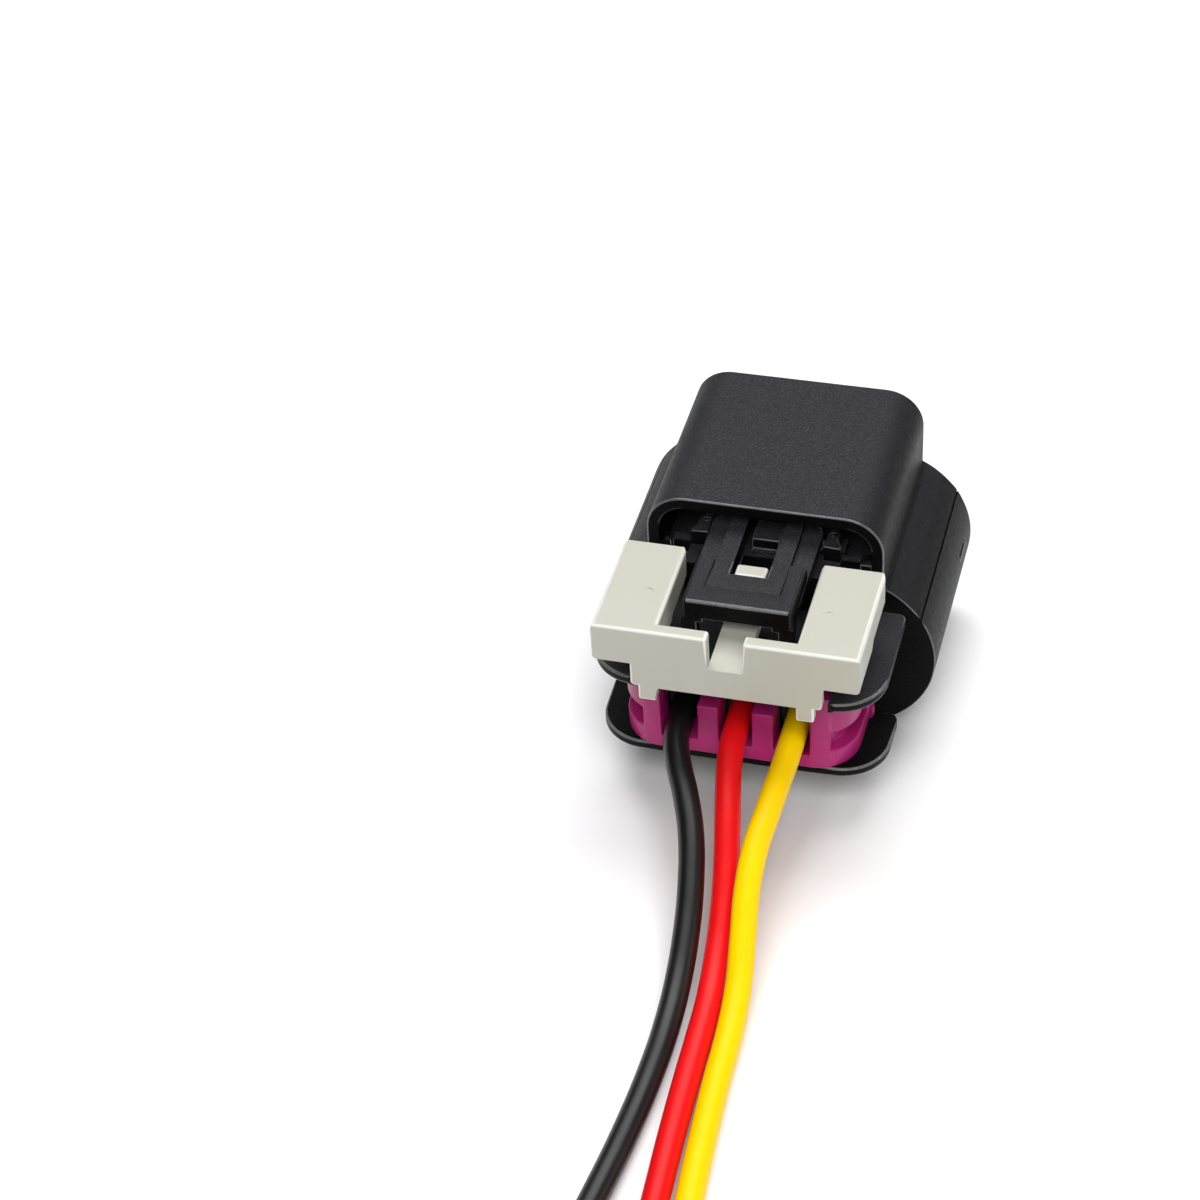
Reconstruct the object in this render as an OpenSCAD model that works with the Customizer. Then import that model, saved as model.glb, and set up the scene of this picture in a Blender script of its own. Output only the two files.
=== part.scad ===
// Sealed three-way automotive connector, socket side, with its three wires.
// Millimetres. X is across the wires, +Y points to the mating end, +Z is up.
// The origin is on the resting surface, under the middle of the connector.
// Stations along Y are given as distances from the wire end of the slide lock.

/* [Overall] */
// Length from the slide lock's face to the mating end
total_l = 36.9; // [36.5:0.1:38]
// Distance between the three wires
pitch = 5.3; // [5.2:0.05:5.4]

/* [Shroud] */
// Radius of the oval shroud's round sides, and so half its height
shroud_r = 9.16; // [9.1:0.02:9.3]
// Half the distance between the centres of the two round sides
shroud_c = 6.98; // [6.9:0.02:7.1]
// Wall of the shroud
shroud_wall = 1.5; // [1.3:0.1:1.7]
// Station where the shroud starts
shroud_start = 16.9; // [16.7:0.1:17]
// Radius of the inner tower's round sides
tower_r = 5; // [4.9:0.05:5.1]
// How far the tower's face lies inside the mating end
tower_setback = 1.5; // [1:0.1:2.5]

/* [Hood] */
// Width of the hood over the latch
hood_w = 22.4; // [22.2:0.1:22.6]
// Height of the hood's roof above the resting surface
hood_top = 25.26; // [25.1:0.02:25.4]
// Outer corner radius of the hood
hood_r = 3.7; // [3.5:0.1:3.9]
// Wall of the hood
hood_wall = 1.15; // [1:0.05:1.25]
// Station where the hood starts
hood_start = 16.46; // [16.4:0.02:16.6]

/* [Wire end] */
// Width of the two plates
plate_w = 27.14; // [27:0.02:27.4]
// Thickness of the two plates
plate_t = 0.95; // [0.9:0.05:1]
// Corner radius of the two plates
plate_r = 4.5; // [4.2:0.1:4.8]
// Underside of the upper plate
upper_plate_z = 14.8; // [14.8:0.02:14.84]
// Underside of the lower plate
lower_plate_z = 5.3; // [5.2:0.02:5.3]
// Top of the deck under the latch
deck_z = 19.75; // [19.7:0.01:19.78]

/* [Latch] */
// Top of the thumb pad
pad_top = 23.05; // [23:0.01:23.1]
// Width of the thumb pad
pad_w = 10.3; // [10.2:0.1:10.4]
// Half width of the window between the latch arms
window_half = 1.75; // [1.7:0.05:1.8]
// Height of the latch's pivot
pivot_z = 20.55; // [20.5:0.05:20.6]
// Station of the latch's pivot
pivot_y = 18.2; // [18.1:0.1:18.3]
// Radius of the latch's pivot stubs
pivot_r = 0.4; // [0.35:0.01:0.42]
// Radial clearance of the pivot stubs
pivot_gap = 0.05; // [0.03:0.01:0.08]

/* [Slide lock] */
// Width over the two arms
lock_w = 24.4; // [24.3:0.1:24.6]
// Length of the arms
lock_l = 12.6; // [12.4:0.1:12.7]
// Top of the slide lock
lock_top = 23.05; // [22.9:0.05:23.1]
// Width of one arm
arm_w = 5.9; // [5.7:0.1:5.9]
// Thickness of the front wall
lock_wall = 1.2; // [1:0.1:1.3]

/* [Comb lock] */
// Width over the two side arms
comb_w = 22; // [21.8:0.1:22]
// Corner radius of the comb seen from above
comb_r = 4; // [3.8:0.1:4.2]
// Station of the comb's face
comb_start = 3.3; // [3.2:0.1:3.4]
// Thickness of the comb's curved wall
comb_wall = 2; // [1.8:0.1:2]
// Floor of the three wire slots
slot_floor = 7.85; // [7.7:0.05:7.9]

/* [Seals and terminals] */
// Radius of the bore that holds each wire seal
seal_bore_r = 2.25; // [2.2:0.01:2.3]
// Outer radius of the wire seal's ribs
seal_rib_r = 2.22; // [2.15:0.01:2.24]
// Width of the terminal's box
box_w = 2.5; // [2.3:0.1:2.6]
// Height of the terminal's box
box_h = 2.7; // [2.5:0.1:2.8]
// Sheet thickness of the terminal
sheet_t = 0.25; // [0.2:0.05:0.3]

/* [Wires] */
// Outside diameter of the wire insulation
wire_d = 2.4; // [2.3:0.05:2.4]
// Diameter of the stranded conductor
core_d = 1.2; // [1:0.05:1.3]
// Length of conductor left bare at the free end
bare_l = 5; // [4:0.5:8]

/* [Hidden] */
$fn = 48;

housing_colour = "#29292d";
lock_colour = "#d3d4ca";
comb_colour = "#8f3570";
seal_colour = "#3f7f8c";
tin_colour = "#b9bcc0";
spring_colour = "#8d9196";
copper_colour = "#b87444";

eps = 0.01;
wire_end = -total_l / 2;
axis_z = shroud_r;
hood_half = hood_w / 2;
hood_in_half = hood_half - hood_wall;
hood_in_top = hood_top - hood_wall;
hood_in_r = hood_r - hood_wall;
hood_foot = 16.6;
comb_low = lower_plate_z + plate_t + 0.05;
comb_high = upper_plate_z - 0.1;
slot_half = 1.55;
pillar_w = 2;
pillar_top = 12;
comb_depth = 3.1;
side_slot_out = 7;
plate_half = plate_w / 2;
pad_half = pad_w / 2;
frame_half = 3.4;
lever_low = 21.05;
shoulder_top = 22.05;
arm_top = 22.7;
tongue_top = 19.61;
tongue_low = 18.5;
wire_r = wire_d / 2;
seal_start = 7.2;
neck_start = 12.4;
neck_end = 15.2;
neck_r = 1.6;
grip_r = 1.86;
strip_station = 16;
box_start = 22.8;
box_end = 34.1;
wire_sides = 8;

// Route of each wire, from the terminal's crimp to the free end, in X, Y, Z.
black_route = [
    [-5.3, -2.45, 9.16], [-5.3, -15.2, 9.16], [-5, -17.4, 9.1], [-4.1, -20, 8.8],
    [-2.8, -22.9, 8.1], [-1.5, -26.4, 6.9], [-0.5, -30.8, 5.2], [0.1, -35.2, 3.5],
    [0.4, -39.8, 2], [0.5, -44.6, 1.3], [0.4, -50, 1.2], [0, -56, 1.2],
    [-0.7, -62.4, 1.2], [-1.7, -69.4, 1.2], [-2.9, -76.4, 1.2], [-4.2, -83.4, 1.2],
    [-5.4, -90.4, 1.2], [-6.5, -97.5, 1.2], [-7.4, -104.6, 1.2], [-8, -111.7, 1.2],
    [-8.3, -118.8, 1.2], [-8.3, -126, 1.2], [-8, -133.1, 1.2], [-7.5, -140.2, 1.2],
    [-6.9, -147.3, 1.2], [-6.3, -154.4, 1.2]];
red_route = [
    [0, -2.45, 9.16], [0, -15.8, 9.16], [0.2, -18, 9.05], [0.7, -21, 8.4],
    [1.4, -24.4, 7.2], [2.1, -28, 5.5], [2.7, -32, 3.7], [3.1, -36.2, 2.2],
    [3.4, -40.6, 1.4], [3.5, -45.2, 1.2], [3.6, -50.4, 1.2], [3.8, -56.4, 1.2],
    [4.1, -62.6, 1.2], [4.4, -69.6, 1.2], [4.6, -76.6, 1.2], [4.6, -83.7, 1.2],
    [4.4, -90.8, 1.2], [4, -97.9, 1.2], [3.5, -105, 1.2], [3, -112.1, 1.2],
    [2.6, -119.2, 1.2], [2.4, -126.3, 1.2], [2.5, -133.4, 1.2], [2.8, -140.5, 1.2],
    [3.2, -147.6, 1.2], [3.6, -154.7, 1.2]];
yellow_route = [
    [5.3, -2.45, 9.16], [5.3, -15.8, 9.16], [5.3, -18, 9.15], [5.2, -20.6, 9.1],
    [5, -24, 8.6], [4.7, -27.8, 7.6], [4.8, -31.6, 6.1], [5.3, -35.6, 4.2],
    [5.8, -39.8, 2.4], [6, -44.4, 1.4], [6.1, -49.6, 1.2], [6.4, -55.6, 1.2],
    [6.8, -62, 1.2], [7.3, -69, 1.2], [8, -76, 1.2], [8.8, -83, 1.2],
    [9.7, -90, 1.2], [10.6, -97, 1.2], [11.3, -104.1, 1.2], [11.8, -111.2, 1.2],
    [12, -118.3, 1.2], [11.9, -125.5, 1.2], [11.5, -132.6, 1.2], [10.9, -139.7, 1.2],
    [10.2, -146.8, 1.2], [9.5, -153.9, 1.2]];

// ---------- shared helpers ----------

// Extrudes an X-Z profile along Y between two stations.
module along_y(from, to) {
    translate([0, wire_end + to, 0]) rotate([90, 0, 0]) linear_extrude(to - from) children();
}

// Extrudes a Y-Z profile, with Y as stations, along X between two places.
module along_x(from, to) {
    translate([from, wire_end, 0]) rotate([90, 0, 90]) linear_extrude(to - from) children();
}

// Extrudes an X-Y profile, with Y as stations, upwards between two heights.
module along_z(low, high) {
    translate([0, wire_end, low]) linear_extrude(high - low) children();
}

// A block between two X places, two stations and two heights.
module block(x, y, z) {
    translate([x[0], wire_end + y[0], z[0]]) cube([x[1] - x[0], y[1] - y[0], z[1] - z[0]]);
}

// The same thing on both sides of the middle.
module both_sides() {
    children();
    mirror([1, 0, 0]) children();
}

// A rectangle between two corners, with all four corners round.
module round_rect(low, high, r) {
    translate([low[0] + r, low[1]]) square([high[0] - low[0] - 2 * r, high[1] - low[1]]);
    translate([low[0], low[1] + r]) square([high[0] - low[0], high[1] - low[1] - 2 * r]);
    for (x = [low[0] + r, high[0] - r], y = [low[1] + r, high[1] - r]) translate([x, y]) circle(r);
}

// A lying oval: two round sides joined by flats, centred on the shroud's axis.
module oval(r) {
    translate([0, axis_z]) {
        for (side = [-1, 1]) translate([side * shroud_c, 0]) circle(r, $fn = 96);
        translate([-shroud_c, -r]) square([2 * shroud_c, 2 * r]);
    }
}

// A cylinder along Y between two stations, centred on one of the wires.
module wire_axis_cylinder(r, from, to) {
    translate([0, wire_end + to, axis_z]) rotate([90, 0, 0]) cylinder(r = r, h = to - from);
}

// A cylinder along X between two places.
module cross_cylinder(r, x, station, z) {
    translate([x[0], wire_end + station, z]) rotate([0, 90, 0]) cylinder(r = r, h = x[1] - x[0]);
}

// Moves its children to each of the three wires.
module at_wires() {
    for (i = [-1, 0, 1]) translate([i * pitch, 0, 0]) children();
}

// ---------- housing ----------

// The arch of the hood, with square feet that run into the shroud.
module hood_arch(half, top, r, foot) {
    translate([-half, foot]) square([2 * half, top - r - foot]);
    translate([r - half, foot]) square([2 * (half - r), top - foot]);
    for (side = [-1, 1]) translate([side * (half - r), top - r]) circle(r);
}

module shroud() {
    floor_t = 2.2;
    difference() {
        along_y(shroud_start, total_l) oval(shroud_r);
        along_y(shroud_start + floor_t, total_l + 1) oval(shroud_r - shroud_wall);
        both_sides() shroud_side_marks();
        // lead-in at the mating mouth
        along_y(total_l - 0.6, total_l + 1) oval(shroud_r - shroud_wall + 0.35);
    }
    both_sides() key_rib();
}

// The fine line along each side of the shroud and the short slot near its mouth.
module shroud_side_marks() {
    line_angle = 32.6;
    translate([shroud_c, 0, axis_z]) rotate([0, -line_angle, 0])
        translate([shroud_r - 0.12, wire_end + shroud_start - 1, -0.12]) cube([1, total_l, 0.24]);
    block([shroud_c + shroud_r - 0.5, 20], [31, 34], [10.1, 10.7]);
}

// A rib inside the shroud that lets the mating half in one way up only.
module key_rib() {
    block([3.4, 4.6], [shroud_start + 2, total_l - 1.2], [axis_z - shroud_r + 0.8, 2.3]);
}

module hood() {
    along_y(hood_start, total_l) difference() {
        hood_arch(hood_half, hood_top, hood_r, hood_foot);
        hood_arch(hood_in_half, hood_in_top, hood_in_r, hood_foot - 1);
    }
    // small blocks in the hood's lower corners
    both_sides() block([8.95, hood_in_half + 0.4], [16.6, 18.1], [17.4, 20.05]);
}

// The tower that carries the three terminals inside the shroud.
module tower() {
    tower_end = total_l - tower_setback;
    along_y(shroud_start + 1, tower_end - 0.4) oval(tower_r);
    along_y(tower_end - 0.5, tower_end) oval(tower_r - 0.3);
}

// The block behind the shroud with the three seal bores.
module rear_block() {
    low = lower_plate_z + plate_t - eps;
    high = upper_plate_z + eps;
    along_y(6.6, shroud_start + 1) round_rect([-8.5, low], [8.5, high], (high - low) / 2 - 0.02);
}

// A plate seen from above: wide corners at the wire end, small ones behind.
module plate_outline(start, end) {
    intersection() {
        round_rect([-plate_half, start], [plate_half, end + 2 * plate_r], plate_r);
        round_rect([-plate_half, start - 2], [plate_half, end], 0.7);
    }
}

module upper_plate() {
    along_z(upper_plate_z, upper_plate_z + plate_t) difference() {
        plate_outline(1.9, 15.5);
        // bay that the slide lock's middle moves into
        translate([-8.95, 0]) square([17.9, 5.2]);
    }
    block([-8.4, 8.4], [14.2, shroud_start + 1], [upper_plate_z, upper_plate_z + plate_t]);
}

module lower_plate() {
    along_z(lower_plate_z, lower_plate_z + plate_t) plate_outline(3.7, 12.2);
    block([-8.4, 8.4], [11, shroud_start + 1], [lower_plate_z, lower_plate_z + plate_t]);
    // gussets that carry the lower plate on the shroud
    both_sides() along_x(4.6, 5.6)
        polygon([[9, lower_plate_z + eps], [shroud_start + eps, lower_plate_z + eps],
            [shroud_start + eps, 2.4]]);
}

// The deck under the latch, the riser below it and the stop between the latch arms.
module deck() {
    block([-7.1, 7.1], [14.2, shroud_start + eps], [upper_plate_z + plate_t - eps, deck_z]);
    block([-7.1, 7.1], [shroud_start, 20.5], [17.5, deck_z]);
    both_sides() block([7.1 - eps, 9], [17.3, 18.3], [17.4, deck_z]);
    block([-1.3, 1.3], [17, 19.8], [deck_z - eps, 21.25]);
    block([-1.3, 1.3], [16.5, 17 + eps], [deck_z - eps, 20.15]);
}

// Bearing block of the latch's pivot: an outline with a waist, drilled across and from above.
module pivot_block() {
    top = 21.35;
    difference() {
        translate([0, wire_end, deck_z - eps]) linear_extrude(top - deck_z)
            polygon([[5.5, 17], [7.05, 16.9], [7, 17.4], [6.7, 18], [6.7, 19], [6.2, 19.7],
                [5.5, 19.7]]);
        cross_cylinder(pivot_r + pivot_gap, [5.4, 6.55], pivot_y, pivot_z);
        // blind hole in the block's top
        translate([6, wire_end + 18.85, top - 0.4]) cylinder(r = 0.28, h = 1);
    }
}

// Everything that is taken out of the housing around one terminal.
module cavity() {
    wire_axis_cylinder(seal_bore_r, 6, 15);
    wire_axis_cylinder(seal_bore_r + 0.3, 6, 6.9);
    wire_axis_cylinder(1.9, 15 - eps, 22.6);
    block([-1.45, 1.45], [22.5, 34.4], [axis_z - 1.55, axis_z + 1.55]);
    block([-0.95, 0.95], [34, total_l], [axis_z - 0.55, axis_z + 0.55]);
    // square lead-in round the blade's entry
    block([-1.25, 1.25], [total_l - tower_setback - 0.35, total_l], [axis_z - 0.85, axis_z + 0.85]);
}

module housing() {
    color(housing_colour) difference() {
        union() {
            shroud();
            hood();
            tower();
            rear_block();
            upper_plate();
            lower_plate();
            deck();
            both_sides() pivot_block();
        }
        at_wires() cavity();
        // pocket that the slide lock's tongue enters
        block([-1.95, 1.95], [14, 16.2], [18.2, 21]);
    }
}

// ---------- latch lever ----------

// Side shape of the hook bar: a ramp on the mating side, an upright catch behind it.
module hook_profile() {
    polygon([[31, 21.1], [31, 19.3], [32, 19.2], [34.2, 21.2], [34.2, 22.2], [33.7, 22.55], [31, 22.55]]);
}

// Side shape of the inner frame and the arms: flush with the pad in front, then a little lower.
module arm_profile() {
    polygon([[7.38, lever_low], [31.4, lever_low], [31.4, arm_top], [11.6, arm_top], [7.38, pad_top - 0.04]]);
}

// The thumb pad: a raised U with a skirt in front and a leg on each side.
module thumb_pad() {
    difference() {
        intersection() {
            along_z(lever_low, pad_top) round_rect([-pad_half, 5], [pad_half, 11.6], 0.4);
            along_y(4.9, 11.7) round_rect([-pad_half, lever_low - 2], [pad_half, pad_top], 0.45);
        }
        // bed of the inner frame between the two wings
        block([-frame_half - 0.12, frame_half + 0.12], [7.3, 12], [arm_top - 0.3, pad_top + 1]);
        block([-frame_half - 0.12, -frame_half + 0.08], [7.3, 12], [lever_low + 0.5, pad_top + 1]);
        block([frame_half - 0.08, frame_half + 0.12], [7.3, 12], [lever_low + 0.5, pad_top + 1]);
    }
    both_sides() {
        block([3.75, pad_half], [5, 6.3], [18.4, lever_low + eps]);
        block([3.15, 3.75 + eps], [5, 5.9], [20.6, lever_low + eps]);
    }
}

module latch_lever() {
    color(housing_colour) difference() {
        union() {
            thumb_pad();
            // shoulders that carry the pivot
            along_z(lever_low, shoulder_top)
                round_rect([-5.2, 6], [5.2, 19.3], 1.5);
            // inner frame and the two arms
            along_x(-frame_half, frame_half) arm_profile();
            along_x(-frame_half, frame_half) hook_profile();
            both_sides() {
                cross_cylinder(0.7, [4.5, 5.2], pivot_y, pivot_z);
                block([4.5, 5.2], [pivot_y - 0.7, pivot_y + 0.7], [pivot_z, lever_low + eps]);
                cross_cylinder(pivot_r, [5, 6.45], pivot_y, pivot_z);
            }
        }
        // window between the arms
        block([-window_half, window_half], [9.75, 31], [18, 24]);
        // the arms thin towards the hook
        along_x(-4, 4) polygon([[20, 24], [20, arm_top], [31.1, 22.55], [36, 22.55], [36, 24]]);
    }
}

// ---------- slide lock ----------

// Front wall seen from the wire end: wings, middle, two feet and the notch.
module lock_face() {
    difference() {
        union() {
            round_rect([-lock_w / 2, 19.09], [lock_w / 2, lock_top], 0.45);
            round_rect([-8.77, 16.53], [8.77, 21], 0.35);
            for (side = [-1, 1]) translate([side * 7.23, 0]) round_rect([-0.83, 14.95], [0.83, 17.5], 0.25);
        }
        translate([-1.65, tongue_top]) square([3.3, 5]);
    }
}

module lock_arm() {
    intersection() {
        along_z(19, 24) round_rect([lock_w / 2 - arm_w, -3], [lock_w / 2, lock_l], 0.9);
        along_y(0, lock_l) round_rect([lock_w / 2 - arm_w, 19.09], [lock_w / 2, lock_top], 0.45);
        along_x(0, 20) difference() {
            round_rect([0, 19.09], [lock_l, lock_top], 0.45);
            polygon([[5.5, 19], [6.5, 19.95], [lock_l + 1, 19.95], [lock_l + 1, 19]]);
        }
    }
}

// Tongue that reaches under the latch, with the nub that stands in its window.
module lock_tongue() {
    block([-1.6, 1.6], [0.6, 11.7], [tongue_low, tongue_top]);
    intersection() {
        along_x(-1.45, 1.45) union() {
            translate([10.1, tongue_low]) square([1.6, 3.4]);
            translate([10.6, 21.85]) circle(0.5);
            translate([10.6, 21]) square([1.1, 1.35]);
        }
        along_y(10, 12) round_rect([-1.45, tongue_low - 1], [1.45, 22.35], 0.3);
    }
}

module slide_lock() {
    mark_depth = 0.06;
    color(lock_colour) difference() {
        union() {
            intersection() {
                along_y(0, lock_wall) lock_face();
                along_x(-20, 20) round_rect([0, 14], [lock_wall + 2, lock_top], 0.35);
            }
            both_sides() lock_arm();
            lock_tongue();
        }
        both_sides() translate([8.2, wire_end + 5.6, lock_top - mark_depth]) cylinder(r = 0.42, h = 1);
    }
}

// ---------- comb lock ----------

// The comb seen from above: a wall round three sides with long side arms.
module comb_outline(inset, end) {
    difference() {
        round_rect([-comb_w / 2 + inset, comb_start + inset], [comb_w / 2 - inset, end + 8],
            comb_r - inset);
        translate([-20, end]) square([40, 20]);
    }
}

// One post between two wires; its front edges slope away to guide the wires in.
module comb_pillar() {
    lean = 6;
    difference() {
        block([-pillar_w / 2, pillar_w / 2], [comb_start, comb_start + comb_depth],
            [slot_floor - eps, pillar_top]);
        both_sides() translate([pillar_w / 2, wire_end + comb_start, slot_floor])
            rotate([0, -lean, -45]) translate([0, -1.5, 0]) cube([3, 3, 6]);
    }
}

// Bead near the end of each side arm that clicks past the plate's edge.
module comb_bead() {
    translate([comb_w / 2 - 0.1, wire_end + 11.6, comb_low]) cylinder(r = 0.5, h = 1.2);
}

// Groove round the front corners and along both side arms.
module comb_groove() {
    groove_depth = 1.3;
    intersection() {
        both_sides() block([8.8, 12], [0, 11], [8.35, 10.5]);
        along_z(8, 11) difference() {
            comb_outline(-1, 13);
            comb_outline(groove_depth, 14);
        }
    }
}

module comb_lock() {
    wall_back = comb_start + comb_wall + eps;
    color(comb_colour) difference() {
        union() {
            along_z(comb_low, comb_high) difference() {
                comb_outline(0, 12.2);
                comb_outline(comb_wall, 13);
            }
            // solid foot and the blocks beside the outer slots
            block([-8.5, 8.5], [comb_start + 1, comb_start + comb_depth], [comb_low, slot_floor]);
            both_sides() block([side_slot_out, 8.2], [comb_start + 1, comb_start + comb_depth],
                [comb_low, comb_high]);
            for (side = [-1, 1]) translate([side * (slot_half + pillar_w / 2), 0, 0]) comb_pillar();
            both_sides() comb_bead();
        }
        // open top over the wires
        block([-side_slot_out, side_slot_out], [0, wall_back], [pillar_top, 16]);
        // wire slots in the wall
        block([-slot_half, slot_half], [0, wall_back], [slot_floor, 16]);
        both_sides() block([slot_half + pillar_w, side_slot_out], [0, wall_back], [slot_floor, 16]);
        comb_groove();
    }
}

// ---------- seals ----------

// Ring seal round the foot of the tower, with three ribs.
module ring_seal() {
    start = 19.3;
    color(seal_colour) difference() {
        union() {
            along_y(start, start + 5) oval(tower_r + 1.3);
            for (i = [0:2]) along_y(start + 0.5 + i * 1.6, start + 1.3 + i * 1.6) oval(tower_r + 1.75);
        }
        along_y(start - 1, start + 6) oval(tower_r + 0.02);
    }
}

// Seal on one wire: three ribs, then a neck that the terminal grips.
module wire_seal() {
    bore = wire_r + 0.02;
    body_r = 1.85;
    color(seal_colour) translate([0, wire_end, axis_z]) rotate([-90, 0, 0]) rotate_extrude()
        union() {
            translate([bore, seal_start]) square([body_r - bore, neck_start - seal_start]);
            translate([bore, neck_start - eps]) square([neck_r - bore, neck_end - neck_start]);
            for (i = [0:2]) translate([body_r - 0.2, seal_start + 0.3 + i * 1.7])
                square([seal_rib_r - body_r + 0.2, 0.9]);
        }
}

// ---------- terminals ----------

// Folded socket terminal: seal grip, wire crimp, neck and contact box.
module terminal() {
    crimp_r = core_d / 2 + 0.02;
    color(tin_colour) difference() {
        union() {
            wire_axis_cylinder(grip_r, 13, 15.75);
            wire_axis_cylinder(crimp_r + sheet_t, 16.6, 20.2);
            block([-box_w / 2, box_w / 2], [box_start, box_end],
                [axis_z - box_h / 2, axis_z + box_h / 2]);
            intersection() {
                terminal_strip();
                wire_axis_cylinder(grip_r, 15, box_start + 1);
            }
        }
        wire_axis_cylinder(neck_r + 0.02, 12, 15.8);
        wire_axis_cylinder(crimp_r, 16, 20.4);
        block([-box_w / 2 + sheet_t, box_w / 2 - sheet_t], [box_start - eps, box_end + 1],
            [axis_z - box_h / 2 + sheet_t, axis_z + box_h / 2 - sheet_t]);
        // seams of the folded sheet
        block([-0.06, 0.06], [12, 21], [axis_z, axis_z + 3]);
        block([-0.06, 0.06], [22, 36], [axis_z + 1, axis_z + 3]);
    }
}

// The strip of sheet that ramps from the seal grip to the crimp and on to the box.
module terminal_strip() {
    grip_low = axis_z - grip_r;
    crimp_low = axis_z - core_d / 2 - 0.02 - sheet_t;
    box_low = axis_z - box_h / 2;
    along_x(-0.75, 0.75) polygon([[15.3, grip_low], [15.75, grip_low], [16.6, crimp_low],
        [20.4, crimp_low], [22.6, box_low], [box_start + 0.5, box_low],
        [box_start + 0.5, box_low + sheet_t], [22.7, box_low + sheet_t],
        [20.5, crimp_low + sheet_t], [16.5, crimp_low + sheet_t], [15.8, grip_low + sheet_t],
        [15.3, grip_low + sheet_t]]);
    // folded-up sides of the neck
    both_sides() along_x(0.5, 0.75) polygon([[20.5, crimp_low + eps], [22.6, box_low + eps],
        [box_start + 0.2, box_low + eps], [box_start + 0.2, axis_z], [20.5, axis_z]]);
}

// Bowed leaf inside the contact box.
module contact_spring() {
    leaf = 0.2;
    low = axis_z - box_h / 2 + sheet_t + 0.01;
    color(spring_colour) along_x(-0.8, 0.8) polygon([
        [24, low], [26, low], [28.6, low + 0.75], [30.4, low + 0.75], [33, low], [33.6, low],
        [33.6, low + leaf], [33.1, low + leaf], [30.5, low + 0.75 + leaf],
        [28.5, low + 0.75 + leaf], [25.9, low + leaf], [24, low + leaf]]);
}

// ---------- wires ----------

function unit(v) = v / norm(v);
function route_direction(route, i) =
    unit(route[min(i + 1, len(route) - 1)] - route[max(i - 1, 0)]);

// Corners of the ring at one point of the route, square to the wire.
function ring(route, i) =
    let (dir = route_direction(route, i), side = unit(cross(dir, [0, 0, 1])), up = cross(side, dir))
    [for (k = [0:wire_sides - 1]) let (a = (k + 0.5) * 360 / wire_sides)
        route[i] + wire_r * (cos(a) * side + sin(a) * up)];

// Insulation of one wire, swept along its route as a single solid.
module wire_sweep(route) {
    n = len(route);
    points = [for (i = [0:n - 1]) each ring(route, i)];
    sides = [for (i = [0:n - 2], k = [0:wire_sides - 1])
        let (a = i * wire_sides + k, b = i * wire_sides + (k + 1) % wire_sides)
        [a, b, b + wire_sides, a + wire_sides]];
    first = [for (k = [wire_sides - 1:-1:0]) k];
    last = [for (k = [0:wire_sides - 1]) (n - 1) * wire_sides + k];
    polyhedron(points, concat([first, last], sides));
}

// Both bare ends of one conductor: in the crimp, and past the insulation's free end.
module conductor(route) {
    color(copper_colour) {
        translate([route[0][0], 0, 0])
            wire_axis_cylinder(core_d / 2, strip_station, 20.2);
        tip = route[len(route) - 1];
        dir = route_direction(route, len(route) - 1);
        translate(tip) rotate([90, 0, atan2(dir[1], dir[0]) + 90]) cylinder(r = core_d / 2, h = bare_l);
    }
}

housing();
latch_lever();
slide_lock();
comb_lock();
ring_seal();
translate([-pitch, 0, 0]) wire_seal();  // wire_seal_left
wire_seal();  // wire_seal_middle
translate([pitch, 0, 0]) wire_seal();  // wire_seal_right
translate([-pitch, 0, 0]) terminal();  // terminal_left
terminal();  // terminal_middle
translate([pitch, 0, 0]) terminal();  // terminal_right
translate([-pitch, 0, 0]) contact_spring();  // contact_spring_left
contact_spring();  // contact_spring_middle
translate([pitch, 0, 0]) contact_spring();  // contact_spring_right
color("#1b1b1d") wire_sweep(black_route);  // wire_black
color("#e0161c") wire_sweep(red_route);  // wire_red
color("#f6d200") wire_sweep(yellow_route);  // wire_yellow
conductor(black_route);  // conductor_black
conductor(red_route);  // conductor_red
conductor(yellow_route);  // conductor_yellow
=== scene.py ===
"""Dresses the sealed three-way plug: moulded pieces, seals, terminals and wires.

Everything is in metres in the shared frame: +X runs across the wires, +Y points out of
the mating end, and +Z points up from the resting surface.
"""
import logging
import math
from dataclasses import dataclass, field
from enum import Enum
from typing import Callable

import bmesh
import bpy
from mathutils import Matrix, Vector
from mathutils.bvhtree import BVHTree
from mathutils.kdtree import KDTree


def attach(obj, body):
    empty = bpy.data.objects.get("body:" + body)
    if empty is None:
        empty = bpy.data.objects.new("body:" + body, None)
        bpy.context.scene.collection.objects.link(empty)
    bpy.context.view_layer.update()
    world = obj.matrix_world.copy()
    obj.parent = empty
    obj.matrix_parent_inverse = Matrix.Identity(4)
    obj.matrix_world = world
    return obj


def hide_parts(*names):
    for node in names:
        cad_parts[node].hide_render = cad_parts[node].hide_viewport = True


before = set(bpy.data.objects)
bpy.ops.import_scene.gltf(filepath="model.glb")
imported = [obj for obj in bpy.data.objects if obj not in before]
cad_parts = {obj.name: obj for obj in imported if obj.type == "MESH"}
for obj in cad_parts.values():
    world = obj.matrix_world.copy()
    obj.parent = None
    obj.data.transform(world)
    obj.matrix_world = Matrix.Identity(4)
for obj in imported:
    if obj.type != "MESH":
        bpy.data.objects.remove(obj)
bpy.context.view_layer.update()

log = logging.getLogger("connector")

MM = 0.001
WIRE_END = -18.45 * MM
"""Y of the slide lock's face; stations are measured from it towards the mating end."""

EdgeTest = Callable[[Vector, Vector, Vector], bool]
"""Says from an edge's middle and its two face normals whether it is wanted."""


class Body(Enum):
    """The rigid bodies that pieces ride on."""

    CONNECTOR = "connector_body"
    LATCH = "latch"
    SLIDING_LOCK = "sliding_lock"
    WIRE_LOCK = "wire_lock"


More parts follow.
